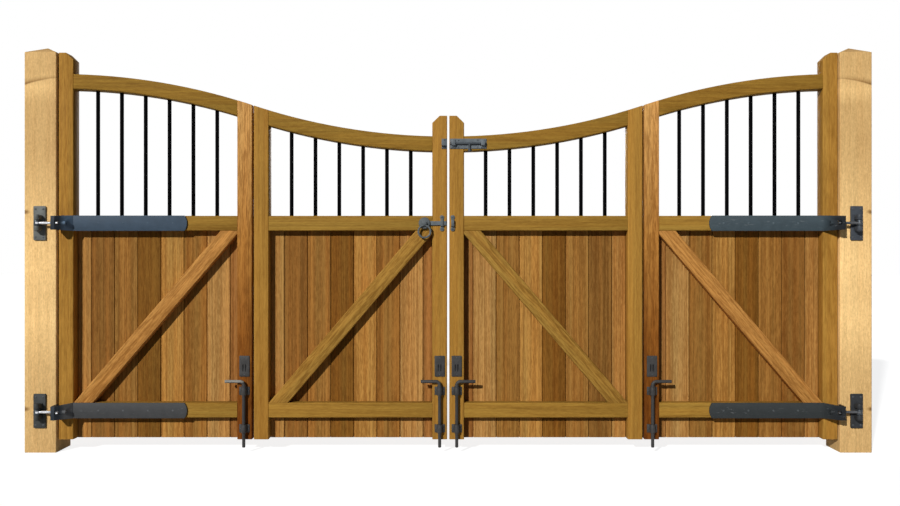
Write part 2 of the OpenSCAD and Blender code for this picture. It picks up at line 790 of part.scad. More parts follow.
module latch_catch_shape() {
  pass_h = latch_bar_h + 2 * keeper_fit;
  pass_d = latch_bar_t + latch_fit + keeper_fit;
  eared_staple(right_edge + latch_catch_x, pass_h, pass_d);
}

module left_post() color(post_colour) post();
module right_post() color(post_colour) half("right") post();
module left_hinge_brackets() color(iron_colour) hinge_brackets();
module right_hinge_brackets() color(iron_colour) half("right") hinge_brackets();

module leaf_stiles(side, leaf) color(stile_colour) half(side) stiles(leaf);
module leaf_rails(side, leaf) color(rail_colour) half(side) rails(leaf);
module leaf_brace(side, leaf) color(brace_colour) half(side) brace(leaf);
module leaf_boards(side, leaf) color(board_colour) half(side) boards(leaf);
module leaf_bars(side, leaf) color(bar_colour) half(side) bar_set(leaf, 0);
module leaf_flaps(side, leaf) color(iron_colour) half(side) fold_flaps(leaf);
module leaf_guides(side, leaf) color(iron_colour) half(side) bolt_guides(leaf);
module leaf_bolt(side, leaf) color(iron_colour) half(side) drop_bolt(leaf);
module side_straps(side) color(iron_colour) half(side) straps();
module side_eyes(side) color(zinc_colour) half(side) hinge_eyes();

module top_bolt_plate() color(iron_colour) top_bolt_plate_shape();
module top_bolt() color(iron_colour) top_bolt_shape();
module top_bolt_keeper() color(iron_colour) top_bolt_keeper_shape();
module latch_rose() color(iron_colour) latch_rose_shape();
module latch_bar() color(iron_colour) latch_bar_shape();
module latch_ring() color(iron_colour) latch_ring_shape();
module latch_catch() color(iron_colour) latch_catch_shape();

left_post();
right_post();
left_hinge_brackets();
right_hinge_brackets();

for (side = ["left", "right"]) {
  side_straps(side);
  side_eyes(side);
  for (leaf = ["outer", "inner"]) {
    name = str(side, "_", leaf);
    leaf_stiles(side, leaf);
    leaf_rails(side, leaf);
    leaf_brace(side, leaf);
    leaf_boards(side, leaf);
    leaf_bars(side, leaf);
    leaf_flaps(side, leaf);
    leaf_guides(side, leaf);
    leaf_bolt(side, leaf);
  }
}

top_bolt_plate();
top_bolt();
top_bolt_keeper();
latch_rose();
latch_bar();
latch_ring();
latch_catch();
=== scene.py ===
"""Looks of the wooden bi-fold gate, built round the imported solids."""
import math
import random

import bmesh
import bpy
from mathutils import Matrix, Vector


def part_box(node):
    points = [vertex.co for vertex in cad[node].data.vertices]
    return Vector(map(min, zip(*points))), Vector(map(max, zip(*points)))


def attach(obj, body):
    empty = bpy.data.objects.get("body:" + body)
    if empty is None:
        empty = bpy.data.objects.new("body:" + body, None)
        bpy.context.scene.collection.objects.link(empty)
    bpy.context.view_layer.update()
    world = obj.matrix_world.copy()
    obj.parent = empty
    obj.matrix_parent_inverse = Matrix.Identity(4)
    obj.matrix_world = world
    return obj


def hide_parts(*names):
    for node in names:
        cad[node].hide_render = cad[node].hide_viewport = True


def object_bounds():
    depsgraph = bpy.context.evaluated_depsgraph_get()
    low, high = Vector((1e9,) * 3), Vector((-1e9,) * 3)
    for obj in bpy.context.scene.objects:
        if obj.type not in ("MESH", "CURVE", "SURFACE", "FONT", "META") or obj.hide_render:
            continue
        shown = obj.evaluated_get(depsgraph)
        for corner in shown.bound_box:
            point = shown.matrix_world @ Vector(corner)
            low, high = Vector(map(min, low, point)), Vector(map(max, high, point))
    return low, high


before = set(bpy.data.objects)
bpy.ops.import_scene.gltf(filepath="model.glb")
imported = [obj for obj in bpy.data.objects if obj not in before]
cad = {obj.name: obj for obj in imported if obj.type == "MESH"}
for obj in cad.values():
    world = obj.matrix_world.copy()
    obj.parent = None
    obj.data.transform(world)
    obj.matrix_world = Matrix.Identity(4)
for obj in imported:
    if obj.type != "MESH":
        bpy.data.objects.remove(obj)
cad_low, cad_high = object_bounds()
scene = bpy.context.scene
random.seed(7)

# Places in the frame, in metres
MM = 0.001
SIDES = ("left", "right")
LEAVES = ("outer", "inner")
MID_X = (cad_low.x + cad_high.x) / 2
POST_FACE_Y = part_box("left_post")[0].y
POST_HALF = 75 * MM
FACE_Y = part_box("left_outer_stiles")[0].y
BACK_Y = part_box("left_outer_stiles")[1].y
OUTER_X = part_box("left_outer_stiles")[0].x
FOLD_X = (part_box("left_outer_stiles")[1].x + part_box("left_inner_stiles")[0].x) / 2
MEET_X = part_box("left_inner_stiles")[1].x
RIGHT_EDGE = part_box("right_inner_stiles")[0].x
TOP_BOLT_Z = (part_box("top_bolt_keeper")[0].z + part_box("top_bolt_keeper")[1].z) / 2
HINGE_HEIGHTS = (197 * MM, 1077 * MM)
LATCH_Z = HINGE_HEIGHTS[1]
FOLD_HINGES = [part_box("left_outer_fold_flaps")[0].z + k * 590 * MM for k in range(3)]
PLATE_T = 8 * MM
GUIDE_T = 4 * MM
FITTING_Y = FACE_Y - GUIDE_T
BRACE_LEAN = math.radians(40.5)
STRAP_SPLIT_Z = 0.6
NECK_SPLIT_Z = 1.2
HANDLE_Z = 0.331
WINDOW_X = 103.5 * MM
BEND_X = 151 * MM
# Span, in from the pin, over which the painted shade of the strap heads gives way to the band
HEAD_SHADE_REACH = {"left": (112 * MM, 128 * MM), "right": (112 * MM, 162 * MM)}
FRONT = (0, -1, 0)
REAR = (0, 1, 0)


def mirrored(side, x):
    """A place along the left half, or its mirror image on the right."""
    return x if side == "left" else 2 * MID_X - x


def in_order(side, post_end, fold_end):
    """Two values of a leaf in the order of X, given from the post end."""
    return (post_end, fold_end) if side == "left" else (fold_end, post_end)


# Tones, set by comparing the render with the photo
def linear(red, green, blue):
    """A colour of the photo's scale, 0 to 255, as linear light."""
    def channel(value):
        value /= 255
        return value / 12.92 if value <= 0.04045 else ((value + 0.055) / 1.055) ** 2.4
    return (channel(red), channel(green), channel(blue), 1)


POST_LIGHT = linear(253, 212, 149)
POST_DARK = linear(204, 166, 112)
POST_MARK = linear(124, 86, 42)
STILE_GOLD = linear(164, 120, 53)
RAIL_OLIVE = linear(150, 114, 49)
NECK_OLIVE = linear(143, 108, 44)
RED_STOPS = (
    (1.60, linear(194, 144, 83)), (1.02, linear(165, 112, 52)),
    (0.55, linear(131, 79, 29)), (0.15, linear(112, 62, 20)),
)
BRACE_TONES = {
    "outer": {"left": linear(178, 125, 65), "right": linear(170, 118, 60)},
    "inner": {"left": linear(154, 115, 52), "right": linear(147, 110, 49)},
}
BOARD_TONES = (
    (162, 116, 61), (131, 89, 41), (148, 103, 49), (120, 80, 30),
    (166, 120, 60), (140, 97, 45), (171, 127, 72), (144, 98, 51),
)
IRON = linear(62, 68, 73)
LATCH_IRON = linear(85, 91, 93)
PLATE_IRON = linear(97, 104, 108)
BOLT_IRON = linear(57, 56, 55)
HANDLE_IRON = linear(124, 122, 115)
WORN_IRON = linear(146, 150, 153)
BAR_BLACK = linear(6, 6, 7)
SCREW_STEEL = linear(74, 77, 80)
# One zinc plating in a lit and a shaded copy: the right side's is darker as painted shade, for the
# shadow the strap heads cast on the right rods
ZINC_LIT_AND_SHADED = {"left": linear(226, 228, 232), "right": linear(92, 94, 97)}

# Lower and upper tone of the hinge fittings; the straps have a third, darker one for the heads, a
# painted shade
BRACKET_TONES = {
    "left": (linear(54, 56, 55), linear(100, 103, 99)),
    "right": (linear(43, 45, 47), linear(60, 65, 71)),
}
STRAP_TONES = {
    "left": (linear(62, 63, 64), linear(60, 75, 90), linear(31, 38, 46)),
    "right": (linear(40, 44, 45), linear(56, 68, 74), linear(19, 23, 27)),
}
BAND_SCREW_TONES = {
    "left": (linear(84, 86, 88), linear(62, 78, 93)),
    "right": (linear(70, 75, 77), linear(82, 94, 100)),
}
# Painted light: the strap's crank slope is lightened by this factor against the shade it lies in
CRANK_PAINTED_LIGHT = {"left": 2.0, "right": 1.0}


# Shader helpers
class Shader:
    """A material whose nodes are added one by one; values or sockets go in by name."""

    def __init__(self, name):
        self.material = bpy.data.materials.new(name)
        self.material.use_nodes = True
        self.tree = self.material.node_tree
        self.surface = self.tree.nodes["Principled BSDF"]

    def node(self, kind, settings=None, **inputs):
        """Adds a node; i0, i1 and so on are inputs by number, other keys are their names."""
        made = self.tree.nodes.new("ShaderNode" + kind)
        for key, value in (settings or {}).items():
            setattr(made, key, value)
        for key, value in inputs.items():
            by_number = key[0] == "i" and key[1:].isdigit()
            self.put(made.inputs[int(key[1:]) if by_number else key.replace("_", " ")], value)
        return made

    def put(self, socket, value):
        if isinstance(value, bpy.types.NodeSocket):
            self.tree.links.new(value, socket)
        else:
            socket.default_value = value

    def set(self, name, value):
        self.put(self.surface.inputs[name], value)

    def place(self):
        return self.node("TexCoord").outputs["Object"]

    def axis(self, vector, index):
        return self.node("SeparateXYZ", Vector=vector).outputs[index]

    def math(self, operation, first, second=0.0, clamp=False):
        settings = {"operation": operation, "use_clamp": clamp}
        return self.node("Math", settings, i0=first, i1=second).outputs[0]

    def times(self, first, second):
        return self.math("MULTIPLY", first, second)

    def away(self, value, centre):
        """Distance of a value from a centre."""
        return self.math("ABSOLUTE", self.math("SUBTRACT", value, centre))

    def about(self, value, amount):
        """A noise turned into a swing of the given size about zero."""
        return self.times(self.math("SUBTRACT", value, 0.5), amount)

    def total(self, *values):
        result = values[0]
        for value in values[1:]:
            result = self.math("ADD", result, value)
        return result

    def vector(self, operation, first, second):
        return self.node("VectorMath", {"operation": operation}, i0=first, i1=second).outputs[0]

    def length(self, vector):
        return self.node("VectorMath", {"operation": "LENGTH"}, i0=vector).outputs["Value"]

    def mix(self, amount, first, second, blend="MIX"):
        made = self.node("Mix", {"data_type": "RGBA", "blend_type": blend})
        self.put(made.inputs[0], amount)
        self.put(made.inputs[6], first)
        self.put(made.inputs[7], second)
        return made.outputs[2]

    def tinted(self, colour, tint):
        return self.mix(1.0, colour, tint, "MULTIPLY")

    def ramp(self, value, *stops):
        made = self.node("ValToRGB", Fac=value)
        elements = made.color_ramp.elements
        while len(elements) < len(stops):
            elements.new(0.5)
        for element, (place, level) in zip(elements, stops):
            element.position = place
            element.color = (level, level, level, 1)
        return made.outputs[0]

    def span(self, value, low, high, to_low=0.0, to_high=1.0):
        return self.node("MapRange", Value=value, From_Min=low, From_Max=high, To_Min=to_low,
                         To_Max=to_high).outputs[0]

    def noise(self, vector, scale, detail=4.0, roughness=0.55, distortion=0.0):
        scaled = self.vector("MULTIPLY", vector, scale)
        return self.node("TexNoise", Vector=scaled, Scale=1.0, Detail=detail, Roughness=roughness,
                         Distortion=distortion).outputs[0]

    def bump(self, height, distance, strength):
        made = self.node("Bump", Height=height, Distance=distance, Strength=strength)
        self.set("Normal", made.outputs[0])


def plain(tone):
    """One tone all over."""
    return lambda shader, place: tone


def by_height(split, low, high):
    """Two tones, told apart by height."""
    def base(shader, place):
        return shader.mix(shader.math("GREATER_THAN", shader.axis(place, 2), split), low, high)
    return base


# How each kind of timber is marked: scale across and along the grain, and amount
BOARD = {
    "streak": (70, 0.55, 1.0), "line": (170, 1.5, 0.7), "fleck": (130, 22, 0.60),
    "figure": 0.35, "hue": 1.0, "contrast": 0.80,
}
PLANED = {
    "streak": (60, 1.0, 0.8), "line": (150, 2.6, 0.7), "fleck": (110, 14, 0.40),
    "figure": 0.45, "hue": 0.5,
}
FLAMED = {
    "streak": (60, 1.2, 0.7), "line": (140, 4.0, 0.7), "fleck": (100, 13, 1.00),
    "figure": 0.60, "hue": 0.5,
}
PINE = {
    "streak": (60, 1.5, 0.4), "line": (150, 6.0, 0.4), "fleck": (150, 75, 0.80),
    "figure": 0.20, "hue": 0.2, "contrast": 0.40,
}
STILE_PLANED = dict(PLANED, contrast=0.46)
STILE_FLAMED = dict(FLAMED, contrast=0.46)
RAIL_PLANED = dict(PLANED, contrast=0.54)
BRACE_FLAMED = dict(FLAMED, contrast=0.78)
RED_LIVELINESS = 1.8

# Marks that every timber has, and how far each shades or stands
GRAIN_TURN = {
    "upright": (0, 0, 0),
    "level": (0, math.pi / 2, 0),
    "lean_right": (0, -BRACE_LEAN, 0),
    "lean_left": (0, BRACE_LEAN, 0),
}
SEED_STEP = (1.7, 2.3, 3.1)
BROAD, BROAD_SHADE = (7, 0.8), 0.8
FINE, FINE_SHADE = (420, 40), 2.2
PORES, PORE_SHADE, PORE_RELIEF = (1100, 45), 1.0, 0.6
LINE_RELIEF = 0.4
HUE_DRIFT = (28, 0.45)
WANDER, WANDER_SIDE, WANDER_DEPTH = (5, 1.1), 0.10, 0.05
PITH_TILT = 0.035
RINGS_PER_METRE = 95.0
RING_SHADE, RING_RELIEF = ((0.0, 0.30), (0.45, 0.42), (0.78, 1.0), (1.0, 0.30)), 0.3
CRISP = ((0.34, 0.0), (0.66, 1.0))
DARK_TINT = (0.70, 0.64, 0.55, 1)
LIGHT_TINT = (1.30, 1.34, 1.36, 1)
RED_TINT = (1.07, 0.98, 0.88, 1)
OLIVE_TINT = (0.94, 1.02, 1.06, 1)
CUT_TINT = (0.55, 0.48, 0.40, 1)
CUT_FACING, CUT_SHADE = (0.80, 0.92), 0.6
WOOD_ROUGHNESS = (0.58, 0.76)
WOOD_SPECULAR = 0.05
WOOD_BUMP = (0.0005, 0.5)


def wood(name, base, grain, seed, marks, apart=None, lively=None):
    """Stained timber. base(shader, place) gives its tone; the grain runs along the turned Z.

    apart moves the grain of each board, and lively(shader, place) makes one of two stiles
    livelier.
    """
    shader = Shader(name)
    coords = shader.node("TexCoord")
    place = coords.outputs["Object"]
    turned = place
    if any(GRAIN_TURN[grain]):
        turned = shader.node("VectorRotate", {"rotation_type": "EULER_XYZ"}, Vector=place,
                             Rotation=GRAIN_TURN[grain]).outputs[0]
    shift = apart(shader, place) if apart else tuple(seed * step for step in SEED_STEP)
    turned = shader.vector("ADD", turned, shift)

    def grains(across, along, **settings):
        return shader.noise(turned, (across, across, along), **settings)

    def crisp(value):
        return shader.ramp(value, *CRISP)

    across, along, streak_shade = marks["streak"]
    streak = crisp(grains(across, along, detail=4, roughness=0.6, distortion=0.2))
    across, along, line_shade = marks["line"]
    line = crisp(grains(across, along, detail=4, roughness=0.6, distortion=0.3))
    across, along, fleck_shade = marks["fleck"]
    fleck = crisp(grains(across, along, detail=3, roughness=0.6, distortion=0.6))
    broad = grains(*BROAD, detail=2)
    fine = grains(*FINE, detail=3, roughness=0.6)
    pores = grains(*PORES, detail=2)
    wander = grains(*WANDER, detail=3)

    # Growth rings round a pith that wanders along the timber
    axes = shader.node("SeparateXYZ", Vector=turned).outputs
    side = shader.total(axes[0], shader.about(wander, WANDER_SIDE))
    depth = shader.total(axes[1], shader.times(axes[2], PITH_TILT))
    pith = shader.node("CombineXYZ", X=shader.math("SUBTRACT", shader.math("FRACT", side), 0.5),
                       Y=shader.total(shader.math("FRACT", depth),
                                      shader.about(wander, WANDER_DEPTH)))
    ring = shader.math("FRACT", shader.times(shader.length(pith.outputs[0]), RINGS_PER_METRE))
    late = shader.ramp(ring, *RING_SHADE)

    swing = shader.total(
        shader.about(broad, BROAD_SHADE), shader.about(streak, streak_shade),
        shader.about(line, line_shade), shader.about(fleck, fleck_shade),
        shader.about(fine, FINE_SHADE), shader.about(pores, PORE_SHADE),
        shader.about(late, -marks["figure"]))
    if lively:
        swing = shader.times(swing, lively(shader, place))
    level = shader.math("ADD", shader.times(swing, marks["contrast"]), 0.5, clamp=True)
    hue = shader.total(shader.about(crisp(grains(*HUE_DRIFT, detail=3)), marks["hue"]), 0.5)
    tone = shader.tinted(base(shader, place), shader.mix(hue, RED_TINT, OLIVE_TINT))
    colour = shader.mix(level, shader.tinted(tone, DARK_TINT), shader.tinted(tone, LIGHT_TINT))
    if grain == "upright":
        facing = shader.math("ABSOLUTE", shader.axis(coords.outputs["Normal"], 2))
        cut = shader.span(facing, *CUT_FACING, 0.0, CUT_SHADE)
        colour = shader.mix(cut, colour, shader.tinted(colour, CUT_TINT))
    shader.set("Base Color", colour)
    shader.set("Roughness", shader.span(line, 0.0, 1.0, *WOOD_ROUGHNESS))
    shader.set("Specular IOR Level", WOOD_SPECULAR)
    relief = shader.total(shader.times(line, LINE_RELIEF), shader.times(pores, PORE_RELIEF),
                          shader.times(late, RING_RELIEF))
    shader.bump(relief, *WOOD_BUMP)
    return shader.material


def beyond(shader, place, split):
    """One where a place along the gate is past the split, else nought."""
    return shader.math("GREATER_THAN", shader.axis(place, 0), split)


def stile_pair(split, low_x, high_x):
    """Tones of a leaf's two stiles, told apart by their place along the gate."""
    def base(shader, place):
        past = beyond(shader, place, split)
        return shader.mix(past, low_x(shader, place), high_x(shader, place))
    return base


def liveliness(split, low_x, high_x):
    """How strong the figure of a leaf's two stiles is, told apart the same way."""
    def amount(shader, place):
        return shader.span(beyond(shader, place, split), 0.0, 1.0, low_x, high_x)
    return amount


def faded(*stops):
    """A timber whose tone changes with height, from the top stop down."""
    def base(shader, place):
        z = shader.axis(place, 2)
        tone = stops[0][1]
        for (above, _), (below, colour) in zip(stops, stops[1:]):
            tone = shader.mix(shader.span(z, above, below), tone, colour)
        return tone
    return base


# Bands, sweep and knots of the posts
POST_TOP = 1.9
POST_BANDS = (
    (0.00, 0.25), (0.20, 0.40), (0.32, 0.95), (0.39, 0.75), (0.46, 0.95),
    (0.66, 0.30), (0.76, 0.00), (0.86, 0.00), (0.90, 0.50), (0.94, 0.10),
)
POST_SWAY, BAND_SWAY, SWEEP_SWAY = (5, 5, 2.5), 0.10, 0.02
SWEEP_Z = 1.759
SWEEP_FALL = 8 * MM
SWEEP_BEND = 22 * MM
SWEEP_LEAD = 10 * MM
SWEEP_FADE = (0.45, 1.0)
SWEEP_SHADE = ((0.003, 0.0), (0.009, 1.0), (0.017, 0.55), (0.040, 0.0))
KNOT_HEIGHTS = (1.13, 0.205)
KNOT_STRETCH = (1, 1, 2.2)
KNOT_SHADE = ((0.010, 0.85), (0.030, 0.0))


def post_tone(shader, place):
    """Pale pine in soft bands, with one dark sweep and two knots on the outer arris."""
    z = shader.axis(place, 2)
    outward = shader.away(shader.axis(place, 0), MID_X)
    sway = shader.noise(place, POST_SWAY, detail=2)
    moved = shader.math("ADD", z, shader.about(sway, BAND_SWAY))
    level = shader.ramp(shader.span(moved, 0.0, POST_TOP), *POST_BANDS)
    tone = shader.mix(level, POST_DARK, POST_LIGHT)

    # The sweep falls and grows stronger towards the outer edge
    spread = shader.span(outward, MID_X - POST_HALF, MID_X + POST_HALF)
    strength = shader.span(spread, 0.0, 1.0, *SWEEP_FADE)
    fall = shader.math("ADD", shader.times(spread, SWEEP_BEND), SWEEP_FALL)
    above = shader.total(z, shader.times(spread, fall), shader.about(sway, SWEEP_SWAY), -SWEEP_Z)
    above = shader.math("DIVIDE", above, strength)
    shade = shader.ramp(shader.math("ADD", above, SWEEP_LEAD), *SWEEP_SHADE)
    tone = shader.mix(shader.times(shade, strength), tone, POST_MARK)

    for height in KNOT_HEIGHTS:
        for x in (cad_low.x, cad_high.x):
            gap = shader.vector("SUBTRACT", place, (x, POST_FACE_Y, height))
            near = shader.length(shader.vector("MULTIPLY", gap, KNOT_STRETCH))
            tone = shader.mix(shader.ramp(near, *KNOT_SHADE), tone, POST_MARK)
    return tone


# Marks of the metals: scale along X, Y and Z
CLOUD, CLOUD_SHADE = (30, 30, 30), 2.0
DRAWN, DRAWN_SHADE, DRAWN_RELIEF = (22, 60, 160), 2.6, 3
SCUFF, SCUFF_SHADE = (34, 60, 150), ((0.62, 0.0), (0.72, 0.30))
GRIT = (900, 900, 900)
# Painted shade for hollows: how dark it gets, and over what depth it fades in
PAINTED_SHADE_TINT = (0.10, 0.10, 0.10, 1)
PAINTED_SHADE_EDGE = 0.4 * MM
METAL_BUMP = (0.0003, 0.6)


def metal(name, base, roughness, mottle, wrinkle=0.0, metallic=0.0, specular=0.2, grit=0.5,
          worn=None, deep_y=None):
    """Coated or plated iron with a fine uneven skin and, if wanted, faint drawn lines.

    worn(shader, place) is how much light wear shows, and what lies deeper than the given depth is
    darkened as painted shade.
    """
    shader = Shader(name)
    place = shader.place()
    cloud = shader.noise(place, CLOUD, detail=5, roughness=0.6)
    drawn = shader.noise(place, DRAWN, detail=5, roughness=0.65, distortion=0.8)
    tone = base(shader, place)
    level = shader.total(shader.about(cloud, CLOUD_SHADE),
                         shader.about(drawn, DRAWN_SHADE * wrinkle), 0.5)
    dull = shader.tinted(tone, (1 - mottle * 2, 1 - mottle * 2, 1 - mottle * 1.9, 1))
    bright = shader.tinted(tone, (1 + mottle * 2, 1 + mottle * 2, 1 + mottle * 2.1, 1))
    colour = shader.mix(level, dull, bright)
    if worn:
        scuff = shader.noise(place, SCUFF, detail=4, roughness=0.6, distortion=0.5)
        amount = shader.times(shader.ramp(scuff, *SCUFF_SHADE), worn(shader, place))
        colour = shader.mix(amount, colour, WORN_IRON)
    # Painted shade: faces deeper than the given depth, such as slot floors and plate edges, are
    # darkened
    if deep_y is not None:
        deep = shader.span(shader.axis(place, 1), deep_y - PAINTED_SHADE_EDGE, deep_y)
        colour = shader.mix(deep, colour, shader.tinted(colour, PAINTED_SHADE_TINT))
    shader.set("Base Color", colour)
    shader.set("Roughness", shader.span(cloud, 0.2, 0.8, roughness - 0.08, roughness + 0.10))
    shader.set("Metallic", metallic)
    shader.set("Specular IOR Level", specular)
    if grit or wrinkle:
        grain = shader.noise(place, GRIT, detail=2)
        relief = shader.total(shader.times(grain, grit),
                              shader.times(drawn, wrinkle * DRAWN_RELIEF))
        shader.bump(relief, *METAL_BUMP)
    return shader.material


BEND_BLUR = 2 * MM
WEAR_BAND = (12 * MM, 26 * MM)
# The plated band is narrower than the rod: a painted highlight along the middle of rod and eye
PLATED_HIGHLIGHT_BAND = (3.4 * MM, 5.0 * MM)
PIN_BLUR = 1 * MM


def strap_tone(lower, upper, head, reach, crank_light):
    """Straps of two tones, with heads darkened as painted shade that give way along the reach to a
    crank lightened as painted light.
    """
    def base(shader, place):
        band = by_height(STRAP_SPLIT_Z, lower, upper)(shader, place)
        outward = shader.away(shader.axis(place, 0), MID_X)
        inward = shader.math("SUBTRACT", MID_X, outward)
        # The crank is lightened as painted light, and the head below is darkened as painted shade
        crank = shader.tinted(band, (crank_light, crank_light, crank_light, 1))
        bend = shader.span(inward, BEND_X - BEND_BLUR, BEND_X + BEND_BLUR)
        return shader.mix(shader.span(inward, *reach), head, shader.mix(bend, crank, band))
    return base


def strap_wear(heights):
    """Wear along the middle of the straps at the given heights."""
    def base(shader, place):
        z = shader.axis(place, 2)
        off = shader.away(z, heights[0])
        for centre in heights[1:]:
            off = shader.math("MINIMUM", off, shader.away(z, centre))
        return shader.span(off, *WEAR_BAND, 1.0, 0.0)
    return base


def eye_tone(plating):
    """Plated along the rod, from the pin to the leaf, and dark on the rest of the eye; the plated
    band, narrower than the rod, is a painted highlight along its middle.
    """
    def base(shader, place):
        z = shader.axis(place, 2)
        off = shader.math("MINIMUM", *(shader.away(z, centre) for centre in HINGE_HEIGHTS))
        outward = shader.away(shader.axis(place, 0), MID_X)
        dark = shader.math("MAXIMUM", shader.span(off, *PLATED_HIGHLIGHT_BAND),
                           shader.span(outward, MID_X - PIN_BLUR, MID_X + PIN_BLUR))
        return shader.mix(dark, plating, IRON)
    return base


def fitting_iron(name, base, **more):
    """The coat that latch, bolts and plates share."""
    return metal(name, base, 0.50, mottle=0.14, wrinkle=0.25, **more)


# Painted shade: faces of the bolt guides and rest plates behind this depth, in the slots and along
# the plate edges, are darkened
SLOT_SHADE_Y = FACE_Y - 2.2 * MM
iron = metal("dark_iron", plain(IRON), 0.55, mottle=0.12, wrinkle=0.25)
latch_iron = fitting_iron("latch_iron", plain(LATCH_IRON))
bolt_iron_slot_shade = fitting_iron("bolt_iron_slot_shade", plain(BOLT_IRON), deep_y=SLOT_SHADE_Y)
plate_iron = fitting_iron("plate_iron", plain(PLATE_IRON))
# A lighter grey on the drop bolt's handle, above HANDLE_Z
pale_handle_iron = fitting_iron("pale_handle_bolt_iron", by_height(HANDLE_Z, BOLT_IRON, HANDLE_IRON))
black = metal("black_bar", plain(BAR_BLACK), 0.75, mottle=0.10, specular=0.02, grit=0.0)
screw_steel = metal("screw_steel", plain(SCREW_STEEL), 0.45, mottle=0.08, metallic=0.3)


# Finish of the solids
SHARP_ANGLE = math.radians(30)
EASE_ANGLE = math.radians(35)
FLAT_ANGLE = math.radians(0.1)
WELD_REACH = 0.01 * MM
POST_EASE = 1.5 * MM
TIMBER_EASE = 1.2 * MM
HINGE_EASE = 0.8 * MM
BAR_EASE = 0.8 * MM
FITTING_EASE = 0.6 * MM
EYE_EASE = 0.5 * MM


def smooth_group():
    """Geometry nodes that shade smooth, apart from the sharp edges."""
    group = bpy.data.node_groups.new("smooth_by_angle", "GeometryNodeTree")
    group.interface.new_socket("Geometry", in_out="INPUT", socket_type="NodeSocketGeometry")
    group.interface.new_socket("Geometry", in_out="OUTPUT", socket_type="NodeSocketGeometry")
    start = group.nodes.new("NodeGroupInput")
    end = group.nodes.new("NodeGroupOutput")
    faces = group.nodes.new("GeometryNodeSetShadeSmooth")
    faces.domain = "FACE"
    edges = group.nodes.new("GeometryNodeSetShadeSmooth")
    edges.domain = "EDGE"
    angle = group.nodes.new("GeometryNodeInputMeshEdgeAngle")
    sharp = group.nodes.new("FunctionNodeCompare")
    sharp.data_type = "FLOAT"
    sharp.operation = "GREATER_THAN"
    sharp.inputs[1].default_value = SHARP_ANGLE
    faces.inputs["Shade Smooth"].default_value = True
    edges.inputs["Shade Smooth"].default_value = False
    group.links.new(start.outputs[0], faces.inputs["Geometry"])
    group.links.new(faces.outputs[0], edges.inputs["Geometry"])
    group.links.new(angle.outputs["Unsigned Angle"], sharp.inputs[0])
    group.links.new(sharp.outputs[0], edges.inputs["Selection"])
    group.links.new(edges.outputs[0], end.inputs[0])
    return group


SMOOTH = smooth_group()


def dress(node, material, bevel):
    """Gives a solid its finish, eased edges and smooth curves."""
    piece = cad[node]
    piece.data.materials.clear()
    piece.data.materials.append(material)
    weld = piece.modifiers.new("weld", "WELD")
    weld.merge_threshold = WELD_REACH
    flat = piece.modifiers.new("flat", "DECIMATE")
    flat.decimate_type = "DISSOLVE"
    flat.angle_limit = FLAT_ANGLE
    ease = piece.modifiers.new("ease", "BEVEL")
    ease.width = bevel
    ease.segments = 2
    ease.limit_method = "ANGLE"
    ease.angle_limit = EASE_ANGLE
    piece.modifiers.new("smooth", "NODES").node_group = SMOOTH


def dress_leaf(side, leaf, seed):
    """Timbers, bars and bolts of one leaf; the outer leaf's fold stile is red and lively."""
    name = f"{side}_{leaf}"
    outer = leaf == "outer"
    low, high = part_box(f"{name}_stiles")
    middle = (low.x + high.x) / 2
    gold = plain(STILE_GOLD)
    tones = stile_pair(middle, *in_order(side, gold, faded(*RED_STOPS) if outer else gold))
    figures = liveliness(middle, *in_order(side, 1.0, RED_LIVELINESS if outer else 1.0))
    stile = wood(f"{name}_stile", tones, "upright", seed,
                 STILE_FLAMED if outer else STILE_PLANED, lively=figures)
    dress(f"{name}_stiles", stile, TIMBER_EASE)
    rail_tone = by_height(NECK_SPLIT_Z, RAIL_OLIVE, NECK_OLIVE)
    rail = wood(f"{name}_rail", rail_tone, "level", seed + 1, RAIL_PLANED)
    dress(f"{name}_rails", rail, TIMBER_EASE)
    lean = "lean_right" if side == "left" else "lean_left"
    brace_tone = plain(BRACE_TONES[leaf][side])
    brace = wood(f"{name}_brace", brace_tone, lean, seed + 2, BRACE_FLAMED)
    dress(f"{name}_brace", brace, TIMBER_EASE)
    dress(f"{name}_bars", black, BAR_EASE)
    dress(f"{name}_fold_flaps", iron, FITTING_EASE)
    dress(f"{name}_bolt_guides", bolt_iron_slot_shade, FITTING_EASE)
    drop_bolt = pale_handle_iron if name == "left_outer" else bolt_iron_slot_shade
    dress(f"{name}_drop_bolt", drop_bolt, FITTING_EASE)


def dress_hinges(side):
    """Brackets, straps and eyes at the post."""
    bracket_tone = by_height(STRAP_SPLIT_Z, *BRACKET_TONES[side])
    bracket = metal(f"{side}_bracket_iron", bracket_tone, 0.55, mottle=0.16, wrinkle=0.25)
    dress(f"{side}_hinge_brackets", bracket, HINGE_EASE)
    tone = strap_tone(*STRAP_TONES[side], HEAD_SHADE_REACH[side], CRANK_PAINTED_LIGHT[side])
    wear = strap_wear(HINGE_HEIGHTS if side == "right" else HINGE_HEIGHTS[:1])
    strap = metal(f"{side}_strap_iron", tone, 0.55, mottle=0.08, wrinkle=0.35, worn=wear)
    dress(f"{side}_straps", strap, HINGE_EASE)
    eye = metal(f"{side}_eye_metal", eye_tone(ZINC_LIT_AND_SHADED[side]), 0.35, mottle=0.05, metallic=0.5)
    dress(f"{side}_hinge_eyes", eye, EYE_EASE)


POST_SEED = 3
LEAF_SEED = 10
for half, side in enumerate(SIDES):
    dress(f"{side}_post", wood(f"{side}_post_pine", post_tone, "upright", POST_SEED, PINE),
          POST_EASE)
    for step, leaf in enumerate(LEAVES):
        dress_leaf(side, leaf, LEAF_SEED + 4 * half + 2 * step)
    dress_hinges(side)
for fitting in ("top_bolt_keeper", "latch_rose", "latch_ring", "latch_catch"):
    dress(fitting, latch_iron, FITTING_EASE)
for fitting in ("top_bolt_plate", "latch_bar"):
    dress(fitting, plate_iron, FITTING_EASE)
dress("top_bolt", iron, FITTING_EASE)


